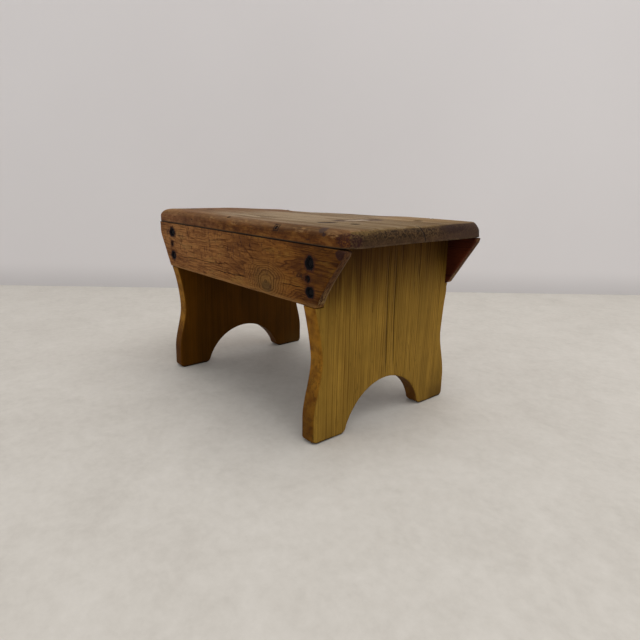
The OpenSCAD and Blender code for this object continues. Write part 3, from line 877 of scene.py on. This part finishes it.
def top_wood():
    p = Paint("top_wood")
    x, y, z = p.x, p.y, p.z
    # Streaks along the grain, in which brown, tan and pale wood take turns
    streak = p.noise((230, 9, 60), 5.0, 0.66, 0.4)
    broad = p.noise((120, 70, 90), 2.0, 0.5)
    mottle = p.noise((17, 7, 7), 4.0, 0.65)
    uneven = mottle - 0.5
    speckle = p.noise((7, 2.6, 2.6), 3.0, 0.65)
    tone = streak * 0.75 + broad * 0.25
    tone = tone + x.fade(-170, -20, -0.10, 0.03) + x.fade(20, 150, 0.0, -0.03)
    p.colour = p.steps(tone, (0.37, (0.085, 0.042, 0.018)), (0.48, (0.19, 0.120, 0.058)),
                       (0.565, (0.315, 0.23, 0.14)))
    p.coat(x.fade(-30, -160, 0.0, 0.7), (0.225, 0.102, 0.042))
    p.coat(x.fade(40, 150, 0.0, 0.55), (0.155, 0.095, 0.032))
    side = y + 26.0
    deep = 320.0 - z
    far = p.math("SQRT", side * side + deep * deep)
    line = p.rings(far * 0.33 + p.noise((240, 34, 34), 2.0, 0.5) * 6.0, 0.45)
    fibre = p.noise((46, 0.8, 0.8), 4.0)
    p.coat(line * 0.65, (0.075, 0.037, 0.017))
    p.coat(fibre.fade(0.5, 0.68, 0.0, 0.65), (0.06, 0.028, 0.013))
    # An old scar across the grain, pale inside with a painted highlight, a dark cut beside it with
    # painted shade, and a dark fleck beside it
    ragged = (p.noise((9, 9, 9)) - 0.5) * 0.9
    wide = p.math("MULTIPLY_ADD", y + 8.0, -0.12, x - 94.5) / 10.0
    long = (y + 8.0) / 27.0
    scar = p.math("SQRT", wide * wide + long * long) + ragged
    face_up = z.fade(203.0, 204.5)
    p.coat(scar.fade(0.8, 0.5, 0.0, 0.75) * face_up, (0.44, 0.35, 0.26))
    p.coat(abs(scar - 0.95).fade(0.36, 0.14) * face_up * 0.85, (0.060, 0.030, 0.022))
    for at, turn, half_long, half_wide, dark in TOP_MARKS:
        dx, dy = x - at[0], y - at[1]
        a = dx * (math.cos(turn) / half_long) + dy * (math.sin(turn) / half_long)
        b = dy * (math.cos(turn) / half_wide) + dx * (-math.sin(turn) / half_wide)
        mark = a * a + b * b + ragged
        p.coat(mark.fade(1.1, 0.6) * face_up * dark, (0.016, 0.006, 0.005))
    # The right rear is paler, the front of the face more orange, and the worn edge more so
    pale = p.spot((112.0, 72.0, 206.0), (66.0, 54.0, None))
    p.colour = p.shade(p.colour, p.math("MULTIPLY_ADD", pale, 0.55, 1.0))
    mixed = mottle * 0.35 + speckle * 0.2 + fibre * 0.25 + streak * 0.2
    warm = p.steps(mixed, (0.40, (0.115, 0.050, 0.019)), (0.5, (0.195, 0.093, 0.036)),
                   (0.60, (0.31, 0.165, 0.066)))
    warm = p.shade(warm, x.fade(-90, -50, 1.0, 0.82) * x.fade(40, 105, 1.0, 0.72)
                   * x.fade(140, 165, 1.0, 1.5))
    p.coat((y + (streak - 0.5) * 50.0).fade(-72, -92) * 0.92, warm)
    # Dark worn sides, mottled with gold, redder and darker towards the right end
    side_dark = p.mask("side") + (broad - 0.5) * 0.5 + uneven * 0.9
    rounding = side_dark.fade(0.08, 0.5)
    brown = p.mix(x.fade(30, 100), (0.150, 0.063, 0.020), (0.078, 0.030, 0.009))
    brown = p.mix(x.fade(-90, -140), brown, (0.225, 0.110, 0.045))
    p.coat(rounding * 0.92, p.shade(brown, mixed.fade(0.42, 0.58, 0.72, 1.3)))
    left_face = p.steps(mixed, (0.38, (0.066, 0.026, 0.011)), (0.5, (0.145, 0.058, 0.023)),
                        (0.61, (0.25, 0.125, 0.048)))
    left_face = p.shade(left_face, x.fade(-105, -150, 1.0, 1.4))
    right_face = p.steps(mixed, (0.41, (0.040, 0.011, 0.002)), (0.5, (0.125, 0.042, 0.008)),
                         (0.59, (0.24, 0.102, 0.020)))
    right_face = p.shade(right_face, 1.0 - x.fade(40, 90) * z.fade(195.5, 198.5) * 0.2)
    p.coat(side_dark.fade(0.4, 0.9) * 0.95, p.mix(x.fade(-120, 20), left_face, right_face))
    p.coat(fibre.fade(0.47, 0.68) * rounding * 0.65, (0.030, 0.010, 0.004))
    # End grain with dark pits, gold at the front, purplish at the rear, pale at its lower edge
    end = (p.mask("end") + uneven * 0.8).fade(0.25, 0.8)
    pits = p.noise((1.5, 1.7, 1.5), 3.0, 0.65)
    grain = p.steps(pits, (0.36, (0.045, 0.022, 0.009)), (0.5, (0.080, 0.043, 0.017)),
                    (0.64, (0.115, 0.064, 0.026)))
    dots = p.noise((2.3, 2.6, 2.0), 2.0, 0.55).fade(0.50, 0.62)
    grain = p.mix(dots * 0.85, grain, (0.012, 0.006, 0.004))
    grain = p.mix((z + uneven * 6.0).fade(199.5, 194.5, 0.0, 0.7), grain, (0.082, 0.043, 0.021))
    grain = p.shade(grain, mottle.fade(0.35, 0.65, 0.8, 1.25) * y.fade(-25, 30, 0.66, 0.84))
    grain = p.mix(y.fade(0, 55, 0.0, 0.65), grain, (0.050, 0.027, 0.020))
    upper = p.spot((0.0, 42.0, 204.0), (None, 27.0, 7.0))
    grain = p.mix(upper * 0.65, grain, (0.022, 0.010, 0.009))
    grain = p.mix(z.fade(193.4, 191.4, 0.0, 0.6), grain, (0.095, 0.060, 0.042))
    worn_end = p.mix(y.fade(0, 40), (0.135, 0.080, 0.026), (0.062, 0.034, 0.018))
    p.coat(end.fade(0.0, 0.4), p.shade(worn_end, pits.fade(0.36, 0.56, 0.45, 1.1)))
    below_wear = (z + y.fade(-50, -80, 0.0, 3.0) + uneven * 11.0).fade(207.6, 203.4)
    p.coat(end * below_wear * 0.95, grain)
    crack = abs(y + z.fade(193.0, 205.0, 3.2, 7.5)).fade(0.85, 0.25)
    crack = crack * x.fade(168.0, 171.0) * z.fade(191.5, 194.0)
    # Stains at the nails of the front edge, and a red one in the right corner
    rough_place = (p.noise((5, 5, 5)) - 0.5) * 1.2
    bluish = p.spot((140.5, -95.4, 204.6), (6.0, 9.0, 4.4)) + rough_place
    p.coat(bluish.fade(0.25, 0.8, 0.0, 0.65), (0.042, 0.030, 0.030))
    p.coat(p.spot((145.6, -100.0, 200.5), (3.0, 9.0, 2.2)) * 0.7, (0.020, 0.013, 0.014))
    red = p.spot((-78.0, -100.0, 202.0), (12.0, 7.0, 7.0)) + rough_place
    p.coat(red.fade(0.3, 0.9, 0.0, 0.3), (0.055, 0.018, 0.009))
    corner = p.spot((171.0, -93.0, 197.0), (15.0, 15.0, 9.0)) + rough_place
    p.coat(corner.fade(0.15, 0.8) * pits.fade(0.58, 0.44, 0.25, 1.0) * 0.8, (0.030, 0.009, 0.009))
    for at, size in GOLD_FLECKS:
        p.coat(p.spot(at, size) * speckle.fade(0.45, 0.62) * 0.65, (0.30, 0.165, 0.065))
    # Underside, painted shade in the seam, and holes
    rough_side = p.steps(streak, (0.36, (0.035, 0.018, 0.008)), (0.64, (0.105, 0.062, 0.030)))
    rough_side = p.mix(fibre.fade(0.48, 0.66, 0.0, 0.7), rough_side, (0.022, 0.011, 0.005))
    p.coat(p.mask("below").fade(0.3, 0.9), rough_side)
    p.coat(p.noise((14, 1.6, 1.6), 2.0, 0.5).fade(0.66, 0.74, 0.0, 0.8), (0.03, 0.014, 0.008))
    stain = p.mask("stain") + (p.noise((2, 2, 2)) - 0.5) * 0.6
    p.coat(p.mask("ring") * 0.85, (0.018, 0.009, 0.006))
    seam_shade = z.fade(191.3, 190.8) * abs(y).fade(88.0, 90.5) * x.fade(-110, 90, 0.45, 1.0)
    p.coat(p.most(stain.fade(0.45, 0.95), p.mask("cut").fade(0.1, 0.7), crack, seam_shade), HOLE_BLACK)
    height = fibre * 0.9 + line * 0.4 + pits * end * 1.6 + mottle * rounding * 0.8 + crack * -2.0
    return p.finish(fibre.fade(0.2, 0.8, 0.56, 0.74), height, 0.6, 0.00035, 0.06)


def apron_wood(name, knot, inner):
    """Wood of an apron with a knot at a place in X and Z. The rear one has painted shade on its
    inner face.
    """
    p = Paint(name)
    x, y, z = p.x, p.y, p.z
    knot_x = (x - knot[0]) / 36.0
    knot_z = (z - (knot[1] + 4.5)) / 22.0
    far = knot_x * knot_x + knot_z * knot_z
    wave = p.noise((75, 60, 15), 3.0, 0.55)
    count = z * 0.21 + y * 0.03 + wave * 7.0 + p.math("EXPONENT", far * -0.9) * 7.0
    around = p.rings(p.math("SQRT", far) * 9.5 + wave * 5.0, 0.3) * 0.95
    close = far.fade(1.35, 0.65)
    line = p.rings(count, 0.4) * (1.0 - close) + around * close
    thin = p.rings(count * 2.7, 0.5) * (1.0 - close)
    fibre = p.noise((26, 0.9, 0.9), 4.0, 0.62, 0.3)
    cloud = p.noise((42, 30, 13), 4.0, 0.62)
    side = x.fade(-150, 165)
    early = p.mix(side, (0.345, 0.150, 0.046), (0.195, 0.070, 0.009))
    late = p.mix(side, (0.085, 0.026, 0.006), (0.040, 0.010, 0.001))
    lines = p.math("MINIMUM", line * x.fade(-120, 60, 0.6, 0.85) + thin * 0.35, 1.0)
    p.colour = p.mix(lines, early, late)
    dim = p.mix(side, (0.15, 0.052, 0.014), (0.060, 0.017, 0.003))
    p.coat(cloud.fade(0.46, 0.66, 0.0, 0.7), dim)
    gold = p.mix(side, (0.31, 0.160, 0.052), (0.26, 0.120, 0.018))
    p.coat(cloud.fade(0.46, 0.33, 0.0, 0.65), gold)
    p.coat(fibre.fade(0.50, 0.64, 0.0, 0.78), (0.042, 0.012, 0.003))
    p.colour = p.shade(p.colour, x.fade(95, 160, 1.0, 0.62))
    # The knot is greener and paler than the wood round it
    knot_tone = p.mix(line, (0.22, 0.118, 0.030), (0.060, 0.030, 0.008))
    p.coat(p.math("EXPONENT", far * -2.2) * 0.6, knot_tone)
    eye = p.spot((knot[0] + 2.0, 0.0, knot[1] - 1.0), (11.0, None, 7.5)) + (wave - 0.5)
    p.coat(eye.fade(0.1, 1.0, 0.0, 0.6), (0.062, 0.036, 0.013))
    # Short dark checks across the grain, most of them towards the left, and dark blots
    check = p.noise((1.8, 6, 8)).fade(0.57, 0.68) * z.fade(150, 162, 0.45, 1.0)
    check = check * x.fade(95, 30, 0.25, 1.0)
    p.coat(check * 0.9, (0.028, 0.009, 0.005))
    p.coat(p.noise((6, 6, 4)).fade(0.60, 0.72) * 0.55, (0.055, 0.018, 0.008))
    # Worn lower edge, and painted shade in the seam under the top
    foot = REAR_SHOULDER if inner else FRONT_SHOULDER
    strip = (z + wave * 5.0).fade(foot + 8.0, foot + 4.0) * fibre.fade(0.75, 0.4)
    p.coat(strip * 0.55, (0.30, 0.155, 0.05))
    p.coat(z.fade(189.4, 190.1, 0.0, 0.95), (0.014, 0.005, 0.002))
    if not inner:
        # A dark purple corner under the top: partly stain, partly painted shade
        corner_stain_and_shade = p.spot((170.0, 0.0, 186.0), (11.0, None, 6.5))
        corner_stain_and_shade = corner_stain_and_shade + (p.noise((4, 4, 2.5)) - 0.5) * 1.6
        p.coat(corner_stain_and_shade.fade(0.3, 0.8, 0.0, 0.85), (0.022, 0.008, 0.009))
    # End faces, dark brown with a pale worn edge at the back and grey streaks low down
    end = p.mask("rim").fade(0.3, 0.9) * z.fade(foot + 2.0, foot + 6.0)
    black = p.noise((2.4, 1.6, 5), 4.0, 0.65)
    behind = (HALF_DEPTH if inner else -APRON_IN) - y + (black - 0.5) * 4.0
    grey = p.most(behind.fade(3.2, 1.4), z.fade(foot + 24, foot + 8) * black.fade(0.44, 0.54))
    end_face = p.mix(black.fade(0.36, 0.6), (0.030, 0.012, 0.006), (0.105, 0.045, 0.017))
    end_tone = p.mix(z.fade(168, 150), (0.120, 0.074, 0.040), (0.205, 0.125, 0.048))
    p.coat(end, p.mix(grey * 0.85, end_face, end_tone))
    if inner:
        # Painted shade on the inner face under the top, darker high up and inside the stool
        shaded_inner_face = p.mix(line, (0.054, 0.0115, 0.004), (0.032, 0.007, 0.003))
        shaded_inner_face = p.shade(shaded_inner_face, z.fade(190, 168, 0.82, 1.3) * x.fade(142, 160, 0.75, 1.2))
        p.coat(y.fade(94.0, 91.0), shaded_inner_face)
    # Stains and holes at the nails
    stain = p.mask("stain") + (p.noise((2.2, 2.2, 2.2)) - 0.5) * 0.7
    p.coat(stain.fade(0.05, 0.55, 0.0, 0.75), (0.055, 0.016, 0.007))
    smear = p.spot((RIGHT_MID - 12.0, 0.0, FRONT_SHOULDER + 27.0), (12.0, None, 4.0))
    p.coat(smear * black.fade(0.4, 0.55) * 0.8, (0.030, 0.012, 0.006))
    p.coat(p.most(stain.fade(0.6, 0.9), p.mask("cut").fade(0.1, 0.7)), HOLE_BLACK)
    height = fibre * 0.8 + line * 0.3 + black * end + check * -0.8
    return p.finish(fibre.fade(0.2, 0.8, 0.5, 0.72), height, 0.5, 0.0003, 0.05)


def leg_wood(name, outer_tone, shaded_inner_tone):
    """Wood of an end board, which has a tone for each face, the inner one darkened as painted shade.
    """
    p = Paint(name)
    x, y, z = p.x, p.y, p.z
    count = y * 0.36 + x * 0.05 + p.noise((50, 40, 420), 2.0, 0.5) * 5.0
    line = p.rings(count, 0.35)
    fibre = p.noise((0.7, 0.7, 42), 4.0, 0.62)
    band = p.noise((30, 13, 260), 4.0, 0.62)
    streak = p.noise((3, 1.3, 150)).fade(0.54, 0.66)
    cloud = p.noise((60, 40, 60))
    p.colour = p.shade(outer_tone, band.fade(0.34, 0.66, 0.86, 1.12))
    p.colour = p.shade(p.colour, cloud.fade(0.3, 0.7, 0.88, 1.1))
    lines = line * 0.6 + p.rings(count * 2.3, 0.5) * 0.3 + streak * 0.3
    lines = lines + fibre.fade(0.5, 0.70, 0.0, 0.5)
    p.coat(p.math("MINIMUM", lines, 0.9), tinted(outer_tone, 0.37, 0.285, 0.26))
    # The upper part is darker, most of all at the front: streaks of stain, and painted shade under
    # the overhanging top
    reach = z + (p.noise((9, 7, 120), 3.0, 0.65) - 0.5) * 75.0
    p.coat(reach.fade(106, 178) * y.fade(70, -60, 0.75, 1.0) * 0.9, (0.056, 0.021, 0.002))
    # Painted shade in the strip just under the overhanging top
    p.coat(z.fade(160, 190, 0.0, 0.5), (0.050, 0.016, 0.001))
    drips = p.noise((5, 2.0, 140), 3.0, 0.62).fade(0.49, 0.60) * z.fade(128, 168)
    p.coat(drips * 0.7, (0.030, 0.009, 0.001))
    p.coat(y.fade(40, 80) * z.fade(148, 176) * 0.5, (0.020, 0.006, 0.001))
    # Inner face: painted shade under the stool, lighter towards its front edge as painted light
    dark = p.mix(lines.fade(0.1, 0.9), shaded_inner_tone, tinted(shaded_inner_tone, 0.72))
    dark = p.mix(y.fade(-60, -96, 0.0, 0.4), dark, tinted(shaded_inner_tone, 1.4))
    dark = p.shade(dark, (band * 0.6 + cloud * 0.4).fade(0.36, 0.62, 0.8, 1.16))
    p.coat(p.mask("outer").fade(0.0, -0.6), dark)
    # Edges, redder and darker than the face, and darkest in the arch
    rim = p.mask("rim").fade(0.15, 0.9)
    worn = p.noise((14, 14, 14))
    edge = p.mix(worn.fade(0.35, 0.68), (0.29, 0.13, 0.014), (0.15, 0.055, 0.006))
    edge = p.mix(z.fade(75, 20, 0.0, 0.55), edge, (0.09, 0.032, 0.004))
    edge = p.mix(x.fade(0, -100) * z.fade(66, 40) * 0.6, edge, (0.070, 0.020, 0.003))
    blots = p.noise((5, 4, 7), 4.0, 0.7).fade(0.49, 0.60) * z.fade(112, 62, 0.1, 0.5)
    p.coat(rim, p.mix(blots, edge, (0.060, 0.024, 0.005)))
    arch = abs(y).fade(74, 62) * z.fade(80, 60) * z.fade(8, 42, 0.2, 0.75)
    p.coat(rim * arch, (0.100, 0.044, 0.016))
    p.coat((z + worn * 16.0).fade(34, 10) * y.fade(60, 80) * 0.6, (0.085, 0.04, 0.008))
    # Painted contact shade along the bottom of the feet
    p.coat((z + worn * 4.0).fade(4.6, 3.0) * 0.9, (0.02, 0.012, 0.008))
    flecks = p.noise((1.4, 1.4, 12), 2.0, 0.5).fade(0.66, 0.75)
    p.coat(flecks * 0.7, tinted(outer_tone, 0.22))
    # Painted shade: the boards darken towards the feet
    p.colour = p.shade(p.colour, z.fade(70, 15, 1.0, 0.86))
    p.coat(p.mask("cut").fade(0.0, 0.8, 0.0, 0.9), (0.036, 0.015, 0.003))
    height = fibre * 0.8 + line * 0.35 + worn * rim * 0.6
    return p.finish(fibre.fade(0.2, 0.8, 0.46, 0.66), height, 0.4, 0.00025, 0.04)


def iron():
    p = Paint("nail_iron")
    mottled = p.noise((1.6, 1.6, 1.6), 4.0)
    p.colour = p.steps(mottled, (0.3, (0.002, 0.002, 0.002)), (0.6, (0.006, 0.004, 0.005)),
                       (0.75, (0.014, 0.008, 0.006)))
    return p.finish(mottled.fade(0.3, 0.7, 0.4, 0.65), mottled, 0.6, 0.0003, 0.09)


def stone():
    p = Paint("floor_stone")
    cloud = p.noise((170, 170, 170), 5.0, 0.62)
    grit = p.noise((9, 9, 9), 4.0, 0.65)
    patch = p.noise((38, 38, 38), 5.0, 0.7, 0.6)
    p.colour = p.steps(cloud * 0.35 + patch * 0.35 + grit * 0.3, (0.38, (0.55, 0.515, 0.462)),
                       (0.5, (0.605, 0.57, 0.515)), (0.62, (0.65, 0.615, 0.56)))
    return p.finish(0.6, grit, 0.2, 0.0003, 0.25)


def wall_paint():
    p = Paint("wall_paint")
    colour = p.steps(p.noise((500, 500, 500), 2.0, 0.5), (0.3, (0.775, 0.742, 0.738)),
                     (0.7, (0.80, 0.768, 0.764)))
    # Painted shade along the foot of the wall, darker towards the floor
    p.colour = p.shade(colour, p.z.fade(0, 60, 0.83, 1.0))
    return p.finish(0.9, specular=0.2)


# The pieces in place of the CAD nodes

FRONT_CORNERS = [(LEFT_OUT - 2.9, FRONT_SHOULDER, 5.0), (RIGHT_OUT + 0.2, FRONT_SHOULDER, 4.0),
                 (144.1, 147.0, 26.0), (152.3, 159.5, 30.0), (FRONT_HIGH[0] - 0.3, 185.0, 3.0),
                 (FRONT_HIGH[0] - 0.3, UNDERSIDE - 1.6, 1.5), (160.8, UNDERSIDE - SEAM_GAP, 20.0),
                 (FRONT_LOW[0] + 0.05, UNDERSIDE - SEAM_GAP, 1.0),
                 (FRONT_LOW[0] + 0.05, NOSE_Z, NOSE_R)]
REAR_CORNERS = [(LEFT_OUT - 2.0, REAR_SHOULDER, 5.0), (RIGHT_OUT + 1.5, REAR_SHOULDER, 5.0),
                (REAR_HIGH[0] - 0.5, 185.3, 2.5), (REAR_HIGH[0] - 0.5, UNDERSIDE - 0.6, 0.8),
                (REAR_LOW[0] + 0.1, UNDERSIDE - SEAM_GAP, 1.0),
                (REAR_LOW[0] + 0.1, NOSE_Z, NOSE_R)]

nail_iron = iron()
# Places of the knots in X and Z, and tones of the outer and inner faces of the end boards
KNOT = (61.2, 143.5)
REAR_KNOT = (-40.0, 168.0)
# The inner tones are darkened as painted shade under the stool
LEFT_TONES = ((0.30, 0.165, 0.02), (0.08, 0.028, 0.001))
RIGHT_TONES = ((0.325, 0.185, 0.029), (0.10, 0.04, 0.004))

wood = [
    (make_top(), "top_board", top_wood(), "top_pine"),
    (make_apron("front_board", FRONT_CORNERS, 1, FRONT_LARGE, FRONT_SMALL, APRON_CRACKS, 21),
     "front_apron", apron_wood("front_apron_wood", KNOT, False), "apron_pine"),
    (make_apron("rear_board", REAR_CORNERS, -1, REAR_LARGE, REAR_SMALL, [], 31),
     "rear_apron", apron_wood("rear_apron_wood", REAR_KNOT, True), "apron_pine"),
    (make_leg("left_end_board", LEFT_OUT, LEFT_SHAPE, -1, LEFT_EASE, [], 51), "left_leg",
     leg_wood("left_leg_wood", *LEFT_TONES), "leg_pine"),
    (make_leg("right_end_board", RIGHT_OUT - LEG_T, RIGHT_SHAPE, 1, LEG_EASE, LEG_LINES, 71),
     "right_leg", leg_wood("right_leg_wood", *RIGHT_TONES), "leg_pine"),
]
for piece, node, material, slot in wood:
    piece.data.materials.append(material)
    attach(piece, "root")
    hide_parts(node)

FRONT, REAR, UP = (0, -1, 0), (0, 1, 0), (0, 0, 1)
front_y, rear_y = SIDE_SINK - HALF_DEPTH, HALF_DEPTH - SIDE_SINK
nails = [
    ("front_large_nails", "front_apron_nails", [(x, front_y, z) for x, z in FRONT_LARGE],
     FRONT, LARGE_NAIL),
    ("rear_large_nails", "rear_apron_nails", [(x, rear_y, z) for x, z in REAR_LARGE],
     REAR, LARGE_NAIL),
    ("front_small_nails", "front_apron_brads", [(x, front_y, z) for x, z in FRONT_SMALL],
     FRONT, SMALL_NAIL),
    ("rear_small_nails", "rear_apron_brads", [(x, rear_y, z) for x, z in REAR_SMALL],
     REAR, SMALL_NAIL),
    ("front_edge_nails", "top_front_nails",
     [(x, y, top_face_at(x, y) - EDGE_SINK) for x, y in FRONT_EDGE], UP, EDGE_NAIL),
    ("rear_edge_nails", "top_rear_nails",
     [(x, y, min(top_face_at(x, y) + REAR_PROUD, TOP_FACE - 0.1)) for x, y in REAR_EDGE],
     UP, TOP_NAIL),
    ("end_board_nails", "top_leg_nails",
     [(x, y, top_face_at(x, y) - BOARD_SINK) for x, y in BOARD_NAILS], UP, TOP_NAIL),
]
for k, (name, node, spots, axis, size) in enumerate(nails):
    piece = make_nails(name, spots, axis, size, 40 + k)
    piece.data.materials.append(nail_iron)
    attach(piece, "root")
    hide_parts(node)


# Floor, wall, light and camera

def plane(name, corners, material):
    """A plain surface of the room through four corners in metres."""
    mesh = bpy.data.meshes.new(name)
    mesh.from_pydata([tuple(c) for c in corners], [], [(0, 1, 2, 3)])
    mesh.materials.append(material)
    piece = bpy.data.objects.new(name, mesh)
    bpy.context.scene.collection.objects.link(piece)


# Metres: the wall's distance behind the stool as the camera sees it, half the width of the room,
# the depth of its floor and its height
WALL = 0.5654
ROOM = (4, 6, 3)
along = Vector((0.636, 0.771, 0)).normalized() * ROOM[0]
away = Vector((-along.y, along.x, 0)).normalized()
edge = away * WALL
reach = away * ROOM[1]
rise = Vector((0, 0, ROOM[2]))
plane("floor", [edge - along, edge + along, edge + along - reach, edge - along - reach], stone())
plane("wall", [edge - along, edge + along, edge + along + rise, edge - along + rise], wall_paint())

ROOM_LIGHT = (0.97, 0.98, 1.0, 1.0)
ROOM_STRENGTH = 0.72
LAMP_AT = (0.62, 0.43, 2.9)
LAMP_SIZE = (2.6, 2.2)
LAMP_WATTS = 42
LAMP_COLOUR = (1.0, 0.985, 0.96)

world = bpy.data.worlds.new("room")
world.use_nodes = True
world.node_tree.nodes["Background"].inputs[0].default_value = ROOM_LIGHT
world.node_tree.nodes["Background"].inputs[1].default_value = ROOM_STRENGTH
bpy.context.scene.world = world

lamp = bpy.data.lights.new("ceiling", "AREA")
lamp.shape = "RECTANGLE"
lamp.size, lamp.size_y = LAMP_SIZE
lamp.energy = LAMP_WATTS
lamp.color = LAMP_COLOUR
ceiling = bpy.data.objects.new("ceiling", lamp)
ceiling.location = LAMP_AT
ceiling.rotation_mode = "QUATERNION"
ceiling.rotation_quaternion = (-ceiling.location).to_track_quat("-Z", "Y")
bpy.context.scene.collection.objects.link(ceiling)

# Focal length and width of the picture in pixels, place in millimetres, and yaw, pitch and roll
FOCAL, PICTURE = 508.97, 640.0
CAMERA_AT = (470.15, -383.8, 242.4)
CAMERA_TURN = (138.94, 15.05, 1.21)
camera = bpy.data.cameras.new("camera")
camera.sensor_width = 36.0
camera.lens = FOCAL * camera.sensor_width / PICTURE
camera.clip_start, camera.clip_end = 0.01, 30
viewer = bpy.data.objects.new("camera", camera)
yaw, pitch, roll = (math.radians(a) for a in CAMERA_TURN)
look = Vector((math.cos(yaw) * math.cos(pitch), math.sin(yaw) * math.cos(pitch), -math.sin(pitch)))
right_hand = Vector((math.sin(yaw), -math.cos(yaw), 0))
overhead = right_hand.cross(look)
side = right_hand * math.cos(roll) + overhead * math.sin(roll)
up = overhead * math.cos(roll) - right_hand * math.sin(roll)
turn = Matrix((side, up, -look)).transposed()
viewer.matrix_world = Matrix.Translation(Vector(CAMERA_AT) * MM) @ turn.to_4x4()
bpy.context.scene.collection.objects.link(viewer)
bpy.context.scene.camera = viewer
bpy.context.scene.view_settings.view_transform = "Standard"
